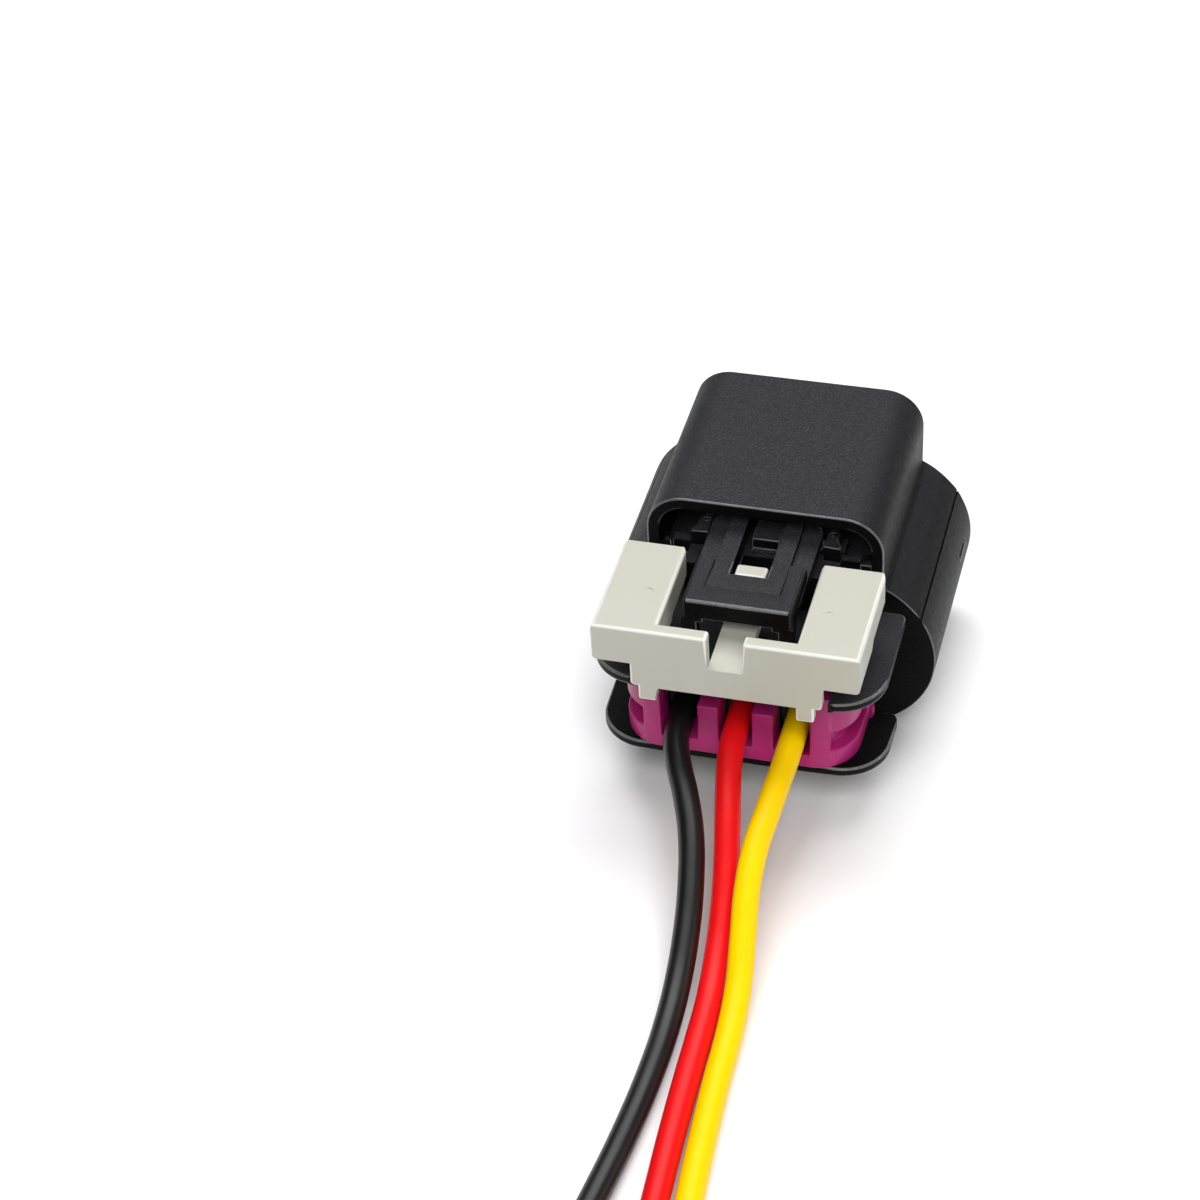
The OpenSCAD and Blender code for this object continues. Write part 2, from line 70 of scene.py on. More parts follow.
class Side(Enum):
    """The three circuits, from left to right."""

    LEFT = -1
    MIDDLE = 0
    RIGHT = 1


# ---------- finishes ----------


def principled(material: bpy.types.Material) -> bpy.types.Node:
    """Returns a material's main shader node."""
    return material.node_tree.nodes["Principled BSDF"]


@dataclass(frozen=True)
class Finish:
    """A procedural surface finish that reads Object coordinates.

    Attributes:
        name: Name of the Blender material.
        slot: Name of the record's material slot; not used.
        base: Main colour, linear.
        shade: Colour of the mottled patches, linear.
        roughness: Lowest and highest roughness across the surface.
        grain: Size of one grain of the surface texture.
        depth: Depth of that texture.
        patch: Size of the mottled patches.
        stretch: Scale of the pattern along X, Y and Z.
        metallic: Share of metal, 0 or 1.
        subsurface: Share of the light that goes through the surface.
        specular: Strength of the gloss on a non-metal.
        painted_top_light: Colour of the painted top light on faces that look up, or None.
        painted_glints: Colour of the painted glints scattered in the painted top light.
        painted_top_light_above: Height below which faces get no painted top light.
        rim: Colour of the painted highlight on the thin rounded rims, or None.
    """

    name: str
    slot: str
    base: tuple[float, float, float]
    shade: tuple[float, float, float]
    roughness: tuple[float, float] = (0.42, 0.52)
    grain: float = 0.2 * MM
    depth: float = 0.01 * MM
    patch: float = 4 * MM
    stretch: tuple[float, float, float] = (1.0, 1.0, 1.0)
    metallic: float = 0.0
    subsurface: float = 0.0
    specular: float = 0.5
    painted_top_light: tuple[float, float, float] | None = None
    painted_glints: tuple[float, float, float] = (0.0, 0.0, 0.0)
    painted_top_light_above: float = 14 * MM
    rim: tuple[float, float, float] | None = None

    def material(self) -> bpy.types.Material:
        """Returns the finish's material, made on first use."""
        made = bpy.data.materials.get(self.name)
        if made is None:
            made = bpy.data.materials.new(self.name)
            made.use_nodes = True
            self._shader_values(principled(made))
            place = self._place(made)
            self._colour(made, place)
            self._roughness(made, place)
            self._relief(made, place)
        return made

    def _shader_values(self, shader: bpy.types.Node) -> None:
        """Sets the values that are the same all over the surface."""
        shader.inputs["Metallic"].default_value = self.metallic
        shader.inputs["Subsurface Weight"].default_value = self.subsurface
        shader.inputs["Subsurface Radius"].default_value = (1.0, 0.9, 0.55)
        shader.inputs["Subsurface Scale"].default_value = 0.7 * MM
        shader.inputs["Specular IOR Level"].default_value = self.specular

    def _place(self, material: bpy.types.Material) -> bpy.types.NodeSocket:
        """Adds the object coordinates, stretched along the surface's own direction.

        Args:
            material: Material to add to.

        Returns:
            The socket that gives the coordinates.
        """
        nodes, links = material.node_tree.nodes, material.node_tree.links
        coordinates = nodes.new("ShaderNodeTexCoord")
        mapping = nodes.new("ShaderNodeMapping")
        mapping.inputs["Scale"].default_value = self.stretch
        links.new(coordinates.outputs["Object"], mapping.inputs["Vector"])
        return mapping.outputs["Vector"]

    @staticmethod
    def _noise(
        material: bpy.types.Material, place: bpy.types.NodeSocket, size: float, detail: float
    ) -> bpy.types.NodeSocket:
        """Adds a noise pattern.

        Args:
            material: Material to add to.
            place: Coordinates to read.
            size: Size of one feature in metres.
            detail: Number of finer octaves.

        Returns:
            The socket that gives the pattern from 0 to 1.
        """
        nodes, links = material.node_tree.nodes, material.node_tree.links
        noise = nodes.new("ShaderNodeTexNoise")
        noise.inputs["Scale"].default_value = 1 / size
        noise.inputs["Detail"].default_value = detail
        links.new(place, noise.inputs["Vector"])
        return noise.outputs["Fac"]

    def _colour(self, material: bpy.types.Material, place: bpy.types.NodeSocket) -> None:
        """Mixes the base colour and the shade in soft patches, then the painted top light and the
        painted rim highlight.
        """
        nodes, links = material.node_tree.nodes, material.node_tree.links
        patches = self._noise(material, place, self.patch, 3)
        ramp = nodes.new("ShaderNodeValToRGB")
        ramp.color_ramp.elements[0].position = 0.3
        ramp.color_ramp.elements[0].color = (*self.shade, 1)
        ramp.color_ramp.elements[1].position = 0.7
        ramp.color_ramp.elements[1].color = (*self.base, 1)
        links.new(patches, ramp.inputs["Fac"])
        colour = ramp.outputs["Color"]
        if self.painted_top_light is not None:
            colour = self._with_painted_top_light(material, place, colour)
        if self.rim is not None:
            colour = self._with_painted_rim_highlight(material, colour)
        links.new(colour, principled(material).inputs["Base Color"])

    @staticmethod
    def _ranged(
        material: bpy.types.Material,
        value: bpy.types.NodeSocket,
        start: float,
        end: float,
        results: tuple[float, float] = (0.0, 1.0),
    ) -> bpy.types.NodeSocket:
        """Adds a node that maps a value onto a range and stops at its ends.

        Args:
            material: Material to add to.
            value: Value to map.
            start: Value that gives the first result.
            end: Value that gives the second result.
            results: The two results.

        Returns:
            The socket that gives the mapped value.
        """
        nodes, links = material.node_tree.nodes, material.node_tree.links
        node = nodes.new("ShaderNodeMapRange")
        node.inputs["From Min"].default_value = start
        node.inputs["From Max"].default_value = end
        node.inputs["To Min"].default_value, node.inputs["To Max"].default_value = results
        links.new(value, node.inputs["Value"])
        return node.outputs["Result"]

    @staticmethod
    def _mixed(
        material: bpy.types.Material,
        share: bpy.types.NodeSocket,
        first: bpy.types.NodeSocket,
        second: bpy.types.NodeSocket | tuple[float, float, float],
    ) -> bpy.types.NodeSocket:
        """Adds a node that mixes a colour with a second one.

        Args:
            material: Material to add to.
            share: Share of the second colour, from 0 to 1.
            first: First colour.
            second: Second colour, as a socket or as linear values.

        Returns:
            The socket that gives the mixed colour.
        """
        nodes, links = material.node_tree.nodes, material.node_tree.links
        mix = nodes.new("ShaderNodeMix")
        mix.data_type = "RGBA"
        colours = [socket for socket in mix.inputs if socket.type == "RGBA"]
        links.new(share, mix.inputs["Factor"])
        links.new(first, colours[0])
        if isinstance(second, tuple):
            colours[1].default_value = (*second, 1)
        else:
            links.new(second, colours[1])
        return next(socket for socket in mix.outputs if socket.type == "RGBA")

    @staticmethod
    def _times(
        material: bpy.types.Material, first: bpy.types.NodeSocket, second: bpy.types.NodeSocket
    ) -> bpy.types.NodeSocket:
        """Adds a node that multiplies two values.

        Args:
            material: Material to add to.
            first: First value.
            second: Second value.

        Returns:
            The socket that gives the product.
        """
        nodes, links = material.node_tree.nodes, material.node_tree.links
        product = nodes.new("ShaderNodeMath")
        product.operation = "MULTIPLY"
        links.new(first, product.inputs[0])
        links.new(second, product.inputs[1])
        return product.outputs["Value"]

    def _with_painted_top_light(
        self,
        material: bpy.types.Material,
        place: bpy.types.NodeSocket,
        colour: bpy.types.NodeSocket,
    ) -> bpy.types.NodeSocket:
        """Paints a top light, with painted glints in it, on the faces that look up and stand high
        enough.

        Args:
            material: Material to add to.
            place: Coordinates to read.
            colour: Colour of the other faces.

        Returns:
            The socket that gives the colour with the painted top light.
        """
        nodes, links = material.node_tree.nodes, material.node_tree.links
        # Painted top light: a lighter colour for the faces that look up, as if lit from above,
        # with painted glints in it.
        top_light_colour = nodes.new("ShaderNodeRGB")
        top_light_colour.outputs["Color"].default_value = (*self.painted_top_light, 1)
        glint_mask = self._ranged(
            material, self._noise(material, place, self.grain * 0.8, 1), 0.45, 0.75
        )
        top_light_with_glints = self._mixed(material, glint_mask, top_light_colour.outputs["Color"], self.painted_glints)
        surface = nodes.new("ShaderNodeNewGeometry")
        facing = nodes.new("ShaderNodeSeparateXYZ")
        links.new(surface.outputs["Normal"], facing.inputs["Vector"])
        height = nodes.new("ShaderNodeSeparateXYZ")
        links.new(place, height.inputs["Vector"])
        upward = self._ranged(material, facing.outputs["Z"], 0.55, 1.0)
        above = self._ranged(
            material, height.outputs["Z"], self.painted_top_light_above, self.painted_top_light_above + 2 * MM
        )
        return self._mixed(material, self._times(material, upward, above), colour, top_light_with_glints)

    def _with_painted_rim_highlight(
        self, material: bpy.types.Material, colour: bpy.types.NodeSocket
    ) -> bpy.types.NodeSocket:
        """Paints a highlight on the rounded rims, the faces that are not square to an axis.

        Args:
            material: Material to add to.
            colour: Colour of the flat faces.

        Returns:
            The socket that gives the colour with the painted rim highlight.
        """
        nodes, links = material.node_tree.nodes, material.node_tree.links
        surface = nodes.new("ShaderNodeNewGeometry")
        sizes = nodes.new("ShaderNodeVectorMath")
        sizes.operation = "ABSOLUTE"
        split = nodes.new("ShaderNodeSeparateXYZ")
        links.new(surface.outputs["True Normal"], sizes.inputs[0])
        links.new(sizes.outputs["Vector"], split.inputs["Vector"])
        largest = split.outputs["X"]
        for axis in ("Y", "Z"):
            higher = nodes.new("ShaderNodeMath")
            higher.operation = "MAXIMUM"
            links.new(largest, higher.inputs[0])
            links.new(split.outputs[axis], higher.inputs[1])
            largest = higher.outputs["Value"]
        return self._mixed(
            material, self._ranged(material, largest, 0.995, 0.86), colour, self.rim
        )

    def _roughness(self, material: bpy.types.Material, place: bpy.types.NodeSocket) -> None:
        """Varies the roughness with the grain."""
        pattern = self._noise(material, place, self.grain * 3, 4)
        spread = self._ranged(material, pattern, 0.3, 0.7, self.roughness)
        material.node_tree.links.new(spread, principled(material).inputs["Roughness"])

    def _relief(self, material: bpy.types.Material, place: bpy.types.NodeSocket) -> None:
        """Raises the grain as fine relief, unless the surface is smooth."""
        if self.depth == 0:
            return
        nodes, links = material.node_tree.nodes, material.node_tree.links
        pattern = self._noise(material, place, self.grain, 2)
        bump = nodes.new("ShaderNodeBump")
        bump.inputs["Strength"].default_value = 1.0
        bump.inputs["Distance"].default_value = self.depth
        links.new(pattern, bump.inputs["Height"])
        links.new(bump.outputs["Normal"], principled(material).inputs["Normal"])


HOUSING_NYLON = Finish(
    "spark_textured_nylon",
    "black_plastic",
    base=(0.0028, 0.0028, 0.0031),
    shade=(0.0022, 0.0022, 0.0025),
    roughness=(0.38, 0.48),
    grain=0.16 * MM,
    depth=0.07 * MM,
    specular=0.08,
    # Painted top light and painted glints on the faces that look up.
    painted_top_light=(0.0215, 0.0215, 0.024),
    painted_glints=(0.055, 0.055, 0.06),
)
# Painted highlight: the rounded edges of the black mouldings get a colour far lighter than the
# body.
EDGE_HIGHLIGHT_NYLON = Finish(
    "nylon_edge_painted_highlight",
    "black_plastic",
    base=(0.12, 0.12, 0.125),
    shade=(0.08, 0.08, 0.084),
    roughness=(0.2, 0.3),
    grain=0.15 * MM,
    depth=0.01 * MM,
    patch=1.5 * MM,
    specular=0.5,
)
PALE_NYLON = Finish(
    "pale_smooth_nylon",
    "pale_plastic",
    base=(0.46, 0.465, 0.4),
    shade=(0.448, 0.45, 0.384),
    roughness=(0.28, 0.3),
    grain=0.3 * MM,
    depth=0,
    patch=9 * MM,
    specular=0.4,
    # Painted highlight on the rounded rims.
    rim=(0.72, 0.72, 0.67),
)
# Painted highlight: the rounded edges of the slide lock get a colour lighter than its faces.
PALE_EDGE_HIGHLIGHT = Finish(
    "pale_nylon_edge_painted_highlight",
    "pale_plastic",
    base=(0.72, 0.72, 0.67),
    shade=(0.68, 0.68, 0.63),
    roughness=(0.16, 0.22),
    grain=0.3 * MM,
    depth=0.001 * MM,
    patch=3 * MM,
    specular=0.7,
)
MAGENTA_NYLON = Finish(
    "magenta_nylon",
    "magenta_plastic",
    base=(0.37, 0.014, 0.14),
    shade=(0.335, 0.012, 0.125),
    roughness=(0.28, 0.38),
    grain=0.3 * MM,
    depth=0.003 * MM,
    subsurface=0.1,
    specular=0.3,
)
SEAL_SILICONE = Finish(
    "oiled_silicone",
    "seal_rubber",
    base=(0.02, 0.045, 0.042),
    shade=(0.015, 0.036, 0.034),
    roughness=(0.3, 0.42),
    grain=0.15 * MM,
    depth=0.004 * MM,
    subsurface=0.1,
)
TIN = Finish(
    "matt_tin_plate",
    "tinned_copper",
    base=(0.62, 0.63, 0.65),
    shade=(0.5, 0.505, 0.52),
    roughness=(0.28, 0.4),
    grain=0.08 * MM,
    depth=0.002 * MM,
    patch=1.5 * MM,
    metallic=1.0,
)
SPRING_SHEET = Finish(
    "rolled_spring_sheet",
    "spring_steel",
    base=(0.5, 0.51, 0.53),
    shade=(0.4, 0.41, 0.43),
    roughness=(0.22, 0.35),
    grain=0.05 * MM,
    depth=0.001 * MM,
    patch=1 * MM,
    stretch=(1, 0.1, 1),
    metallic=1.0,
)
BARE_COPPER = Finish(
    "bare_copper_strand",
    "bare_copper",
    base=(0.72, 0.36, 0.2),
    shade=(0.55, 0.25, 0.13),
    roughness=(0.2, 0.34),
    grain=0.06 * MM,
    depth=0.001 * MM,
    patch=0.8 * MM,
    metallic=1.0,
)


def insulation(
    colour: str,
    base: tuple[float, float, float],
    shade: tuple[float, float, float],
    gloss: float = 0.2,
) -> Finish:
    """Returns the glossy extruded finish of one wire.

    Args:
        colour: Word for the wire's colour.
        base: Main colour, linear.
        shade: Colour of the faint streaks, linear.
        gloss: Strength of the reflection.

    Returns:
        A finish whose streaks and drawing lines run along the wire.
    """
    return Finish(
        f"extruded_{colour}_insulation",
        f"insulation_{colour}",
        base=base,
        shade=shade,
        roughness=(0.36, 0.42),
        grain=0.25 * MM,
        depth=0.0006 * MM,
        patch=2.5 * MM,
        stretch=(1, 0.12, 1),
        specular=gloss,
    )


BLACK_PVC = insulation("black", (0.006, 0.006, 0.0065), (0.004, 0.004, 0.0045), 0.4)
RED_PVC = insulation("red", (0.8, 0.006, 0.008), (0.72, 0.005, 0.007))
YELLOW_PVC = insulation("yellow", (0.95, 0.61, 0.0), (0.9, 0.56, 0.0), 0.12)


# ---------- workbench ----------


def deselect_all() -> None:
    """Clears the selection, so that an operator acts only on what comes next."""
    if bpy.context.mode != "OBJECT":
        bpy.ops.object.mode_set(mode="OBJECT")
    bpy.ops.object.select_all(action="DESELECT")


def take(piece: bpy.types.Object) -> None:
    """Makes a piece the only selected and active object."""
    deselect_all()
    piece.select_set(True)
    bpy.context.view_layer.objects.active = piece


def select_edges(
    piece: bpy.types.Object,
    wanted: Callable[[Vector, Vector, Vector, float], bool],
    sharper_than: float,
) -> int:
    """Selects a piece's sharp edges by their place and normals.

    Args:
        piece: Mesh object in object mode.
        wanted: Test of an edge's middle, its two face normals and its length.
        sharper_than: Least angle between the two faces, in degrees.

    Returns:
        The number of edges selected.
    """
    mesh = bmesh.new()
    mesh.from_mesh(piece.data)
    chosen = set()
    for edge in mesh.edges:
        if len(edge.link_faces) != 2:
            continue
        first, second = (face.normal for face in edge.link_faces)
        if first.length == 0 or second.length == 0:
            continue
        if math.degrees(first.angle(second)) < sharper_than:
            continue
        middle = (edge.verts[0].co + edge.verts[1].co) / 2
        if wanted(middle, first, second, edge.calc_length()):
            chosen.add(edge.index)
    mesh.free()
    for part in (piece.data.polygons, piece.data.edges, piece.data.vertices):
        for element in part:
            element.select = False
    for index in chosen:
        edge = piece.data.edges[index]
        edge.select = True
        for corner in edge.vertices:
            piece.data.vertices[corner].select = True
    return len(chosen)


def surface_tree(mesh: bpy.types.Mesh) -> BVHTree:
    """Returns a search tree of a mesh's surface."""
    faces = bmesh.new()
    faces.from_mesh(mesh)
    tree = BVHTree.FromBMesh(faces)
    faces.free()
    return tree


def folded_places(piece: bpy.types.Object, surface: BVHTree, reach: float) -> list[Vector]:
    """Finds where a piece's faces turn against the surface they came from.

    Args:
        piece: Mesh object that was shaped.
        surface: Search tree of its mesh before that.
        reach: How far a good face may lie from the old surface.

    Returns:
        The corners of the faulty faces.
    """
    mesh = bmesh.new()
    mesh.from_mesh(piece.data)
    bmesh.ops.triangulate(mesh, faces=mesh.faces)
    places = []
    for face in mesh.faces:
        if face.calc_area() < 1e-13:
            continue
        middle = face.calc_center_median()
        _, normal, _, distance = surface.find_nearest(middle)
        corner_away = max(surface.find_nearest(corner.co)[3] for corner in face.verts)
        if normal.dot(face.normal) < -0.2 or distance > reach or corner_away > reach:
            places.extend(corner.co.copy() for corner in face.verts)
    mesh.free()
    return places


@dataclass
class EdgeRound:
    """One pass of rounded edges: which edges, how wide and how fine."""

    width: float
    segments: int = 2
    wanted: EdgeTest = lambda middle, first, second: True
    sharper_than: float = 35.0
    tries: int = 8

    def cut(self, piece: bpy.types.Object) -> int:
        """Rounds the chosen edges, leaving sharp any whose round would fold over.

        Args:
            piece: Mesh object to work on.

        Returns:
            The number of edges rounded.
        """
        sharp = piece.data.copy()
        surface = surface_tree(sharp)
        folds: list[Vector] = []
        count = 0
        for _ in range(self.tries):
            piece.data = sharp.copy()
            count = self._bevel(piece, folds)
            spoiled = folded_places(piece, surface, self.width)
            if not spoiled:
                break
            folds.extend(spoiled)
        else:
            piece.data = sharp.copy()
            count = 0
        log.info("%s: %d edges rounded, %d places left sharp", piece.name, count, len(folds))
        return count

    def _bevel(self, piece: bpy.types.Object, folds: list[Vector]) -> int:
        """Bevels the wanted edges that keep clear of the places that fold.

        Args:
            piece: Mesh object to work on.
            folds: Places where a round folded over before.

        Returns:
            The number of edges bevelled.
        """
        near = KDTree(max(len(folds), 1))
        for index, place in enumerate(folds):
            near.insert(place, index)
        near.balance()

        def clear(middle: Vector, first: Vector, second: Vector, length: float) -> bool:
            if not self.wanted(middle, first, second):
                return False
            return not folds or near.find(middle)[2] > self.width * 1.2 + length * 0.55

        take(piece)
        count = select_edges(piece, clear, self.sharper_than)
        if count:
            bpy.ops.object.mode_set(mode="EDIT")
            bpy.ops.mesh.select_mode(type="EDGE")
            # The new round faces take the piece's last material, the lighter edge finish with its
            # painted highlight where the piece has one.
            bpy.ops.mesh.bevel(
                offset=self.width,
                segments=self.segments,
                profile=0.5,
                affect="EDGES",
                clamp_overlap=False,
                material=len(piece.data.materials) - 1,
            )
            bpy.ops.object.mode_set(mode="OBJECT")
        return count


@dataclass
class MouldedPiece:
    """A moulded or folded piece: its node's welded copy with rounded edges.

    Attributes:
        node: Name of the CAD node that the piece stands for.
        body: Body that it rides on.
        finish: Its surface finish.
        rounds: Passes of rounded edges, widest first.
        edge_highlight_finish: Finish of the rounded edges, coloured lighter as a painted
            highlight, or None for the same one.
        smooth_below: Angle in degrees under which two faces shade as one.
    """

    node: str
    body: Body
    finish: Finish
    rounds: list[EdgeRound] = field(default_factory=list)
    edge_highlight_finish: Finish | None = None
    smooth_below: float = 40.0

    def build(self) -> bpy.types.Object:
        """Builds and dresses the piece.

        Returns:
            The finished object.
        """
        piece = self._welded_copy()
        for edge_round in self.rounds:
            edge_round.cut(piece)
        take(piece)
        bpy.ops.object.shade_smooth_by_angle(angle=math.radians(self.smooth_below))
        bpy.ops.object.modifier_add(type="WEIGHTED_NORMAL")
        flat_shine = piece.modifiers[-1]
        flat_shine.weight = 100
        flat_shine.keep_sharp = True
        bpy.ops.object.modifier_apply(modifier=flat_shine.name)
        self.dress(piece)
        log.info("%s: %d faces", piece.name, len(piece.data.polygons))
        return piece

    def dress(self, piece: bpy.types.Object) -> None:
        """Attaches the piece to its body and hides the node it replaces."""
        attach(piece, self.body.value)
        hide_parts(self.node)

    def _welded_copy(self) -> bpy.types.Object:
        """Copies the node, welds its loose triangles and joins its flat faces."""
        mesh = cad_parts[self.node].data.copy()
        mesh.materials.clear()
        mesh.materials.append(self.finish.material())
        # The rounded edges get a lighter finish: a painted highlight along them.
        if self.edge_highlight_finish is not None:
            mesh.materials.append(self.edge_highlight_finish.material())
        piece = bpy.data.objects.new(f"{self.node}_moulding", mesh)
        bpy.context.scene.collection.objects.link(piece)
        take(piece)
        bpy.ops.object.mode_set(mode="EDIT")
        bpy.ops.mesh.select_all(action="SELECT")
        bpy.ops.mesh.remove_doubles(threshold=0.002 * MM)
        bpy.ops.mesh.dissolve_limited(angle_limit=math.radians(0.6))
        bpy.ops.object.mode_set(mode="OBJECT")
        return piece


# ---------- sub-assemblies ----------


@dataclass
class Housing:
    """The black moulding: shroud, hood, plates, deck and inner tower.

    Attributes:
        plate_round: Width of the rounds on the plates' rims.
        lip_round: Width of the rounds on the hood's mouth.
        edge_round: Width of the rounds elsewhere.
        plates_apart: Height between the two plates.
        upper_plate_end: Station at which the upper plate's rim meets the shroud.
        lower_plate_end: Station at which the lower plate's rim meets the shroud.
        plate_half: Half width outside which the plates stand free.
        plate_front: Station behind which the plates' whole front stands free.
        mouth: Station of the hood's mouth.
        hood_middle: Height of the middle of the hood.
        hood_foot: Height of the foot of the hood's walls.
        axis: Height of the terminals' axes.
        cavity_reach: Distance from the middle cavity within which edges stay sharp.
        tower_front: Y past which the tower's edges are rounded too.
    """

    plate_round: float = 0.2 * MM
    lip_round: float = 0.16 * MM
    edge_round: float = 0.1 * MM
    plates_apart: float = 10 * MM
    upper_plate_end: float = 14.9 * MM
    lower_plate_end: float = 11.4 * MM
    plate_half: float = 9.2 * MM
    plate_front: float = 2.5 * MM
    mouth: float = 16.46 * MM
    hood_middle: float = 20 * MM
    hood_foot: float = 17.5 * MM
    axis: float = 9.16 * MM
    cavity_reach: float = 6 * MM
    tower_front: float = 16 * MM

    def build(self) -> None:
        """Builds the housing with wide rounds on the plates and fine ones elsewhere."""
        MouldedPiece(
            "housing",
            Body.CONNECTOR,
            HOUSING_NYLON,
            [
                EdgeRound(self.plate_round, 3, self.on_plate_rim),
                EdgeRound(self.lip_round, 3, self.on_hood_lip),
                EdgeRound(self.edge_round, 2, self.outside),
            ],
            EDGE_HIGHLIGHT_NYLON,
        ).build()

    def on_plate_rim(self, middle: Vector, first: Vector, second: Vector) -> bool:
        """Tells whether an edge runs round the rim of one of the two plates."""
        level = max(abs(first.z), abs(second.z)) > 0.99
        upright = min(abs(first.z), abs(second.z)) < 0.05
        end = self.upper_plate_end if middle.z > self.plates_apart else self.lower_plate_end
        behind = middle.y < WIRE_END + end
        free = abs(middle.x) > self.plate_half or middle.y < WIRE_END + self.plate_front
        return level and upright and behind and free

    def on_hood_lip(self, middle: Vector, first: Vector, second: Vector) -> bool:
        """Tells whether an edge is on the outer rim of the hood's mouth."""
        wall = first if abs(first.y) < abs(second.y) else second
        outward = wall.x * middle.x + wall.z * (middle.z - self.hood_middle) > 0
        at_mouth = abs(middle.y - WIRE_END - self.mouth) < 0.03 * MM
        return at_mouth and outward and middle.z > self.hood_foot

    def outside(self, middle: Vector, first: Vector, second: Vector) -> bool:
        """Tells whether an edge lies outside the terminal cavities."""
        away = math.hypot(middle.x, middle.z - self.axis)
        return away > self.cavity_reach or middle.y > self.tower_front


@dataclass
class Latch:
    """The latch lever with its thumb pad.

    Attributes:
        pad_round: Width of the round on the pad's front edge.
        edge_round: Width of the rounds elsewhere.
        pad_top: Height of the pad.
        pad_front: Station of the pad's front.
    """

    pad_round: float = 0.25 * MM
    edge_round: float = 0.12 * MM
    pad_top: float = 23.05 * MM
    pad_front: float = 5 * MM

    def build(self) -> None:
        """Builds the lever with a soft front edge on its pad and fine rounds elsewhere."""
        MouldedPiece(
            "latch_lever",
            Body.LATCH,
            HOUSING_NYLON,
            [
                EdgeRound(self.pad_round, 3, self.on_pad_front),
                EdgeRound(self.edge_round, 2),
            ],
            EDGE_HIGHLIGHT_NYLON,
        ).build()

    def on_pad_front(self, middle: Vector, first: Vector, second: Vector) -> bool:
        """Tells whether an edge is the long top front one of the pad."""
        at_front = abs(middle.y - WIRE_END - self.pad_front) < 0.2 * MM
        on_top = abs(middle.z - self.pad_top) < 0.1 * MM and max(first.z, second.z) > 0.9
        return at_front and on_top and abs(middle.x) < 1 * MM


@dataclass
class SlideLock:
    """The pale lock that slides under the latch.

    Attributes:
        notch_round: Width of the rounds beside the notch in the front wall.
        edge_round: Width of the rounds elsewhere.
        top: Height of the arms and of the front wall.
        wall: Station behind which the front wall lies.
        notch_half: Half width of the notch.
        mark: X and station of the ejector mark on the right arm.
        mark_reach: Distance from a mark's middle within which edges stay sharp.
    """

    notch_round: float = 0.28 * MM
    edge_round: float = 0.2 * MM
    top: float = 23.05 * MM
    wall: float = 1.3 * MM
    notch_half: float = 1.65 * MM
    mark: tuple[float, float] = (8.2 * MM, 5.6 * MM)
    mark_reach: float = 0.6 * MM

    def build(self) -> None:
        """Builds the lock with soft notch corners and fine rounds elsewhere."""
        MouldedPiece(
            "slide_lock",
            Body.SLIDING_LOCK,
            PALE_NYLON,
            [
                EdgeRound(self.notch_round, 3, self.beside_notch),
                EdgeRound(self.edge_round, 3, self.off_ejector_marks),
            ],
            PALE_EDGE_HIGHLIGHT,
            smooth_below=20.0,
        ).build()

    def beside_notch(self, middle: Vector, first: Vector, second: Vector) -> bool:
        """Tells whether an edge is a top corner beside the notch in the front wall."""
        across = min(abs(first.x), abs(second.x)) < 0.3 and max(abs(first.x), abs(second.x)) > 0.9
        high = self.top - middle.z < 0.4 * MM and middle.y < WIRE_END + self.wall
        return across and high and abs(abs(middle.x) - self.notch_half) < 0.05 * MM

    def off_ejector_marks(self, middle: Vector, first: Vector, second: Vector) -> bool:
        """Tells whether an edge keeps clear of the two shallow ejector marks."""
        across, station = self.mark
        away = math.hypot(abs(middle.x) - across, middle.y - WIRE_END - station)
        return away > self.mark_reach or middle.z < self.top - 0.1 * MM


@dataclass
class CombLock:
    """The magenta comb that holds the terminals in."""

    edge_round: float = 0.18 * MM

    def build(self) -> None:
        """Builds the comb."""
        MouldedPiece(
            "comb_lock", Body.WIRE_LOCK, MAGENTA_NYLON, [EdgeRound(self.edge_round, 2)]
        ).build()


@dataclass
class Circuit:
    """One wire's seal, terminal and contact leaf inside the housing.

    Attributes:
        side: Which circuit it is.
        seal_round: Width of the rounds on the seal's ribs.
        sheet_round: Width of the rounds on the terminal's sheet.
    """

    side: Side
    seal_round: float = 0.08 * MM
    sheet_round: float = 0.04 * MM

    def build(self) -> None:
        """Builds the three hidden pieces of the circuit."""
        name = self.side.name.lower()
        MouldedPiece(
            f"wire_seal_{name}", Body.CONNECTOR, SEAL_SILICONE, [EdgeRound(self.seal_round, 2)]
        ).build()
        MouldedPiece(
            f"terminal_{name}", Body.CONNECTOR, TIN, [EdgeRound(self.sheet_round, 2)]
        ).build()
        MouldedPiece(f"contact_spring_{name}", Body.CONNECTOR, SPRING_SHEET).build()


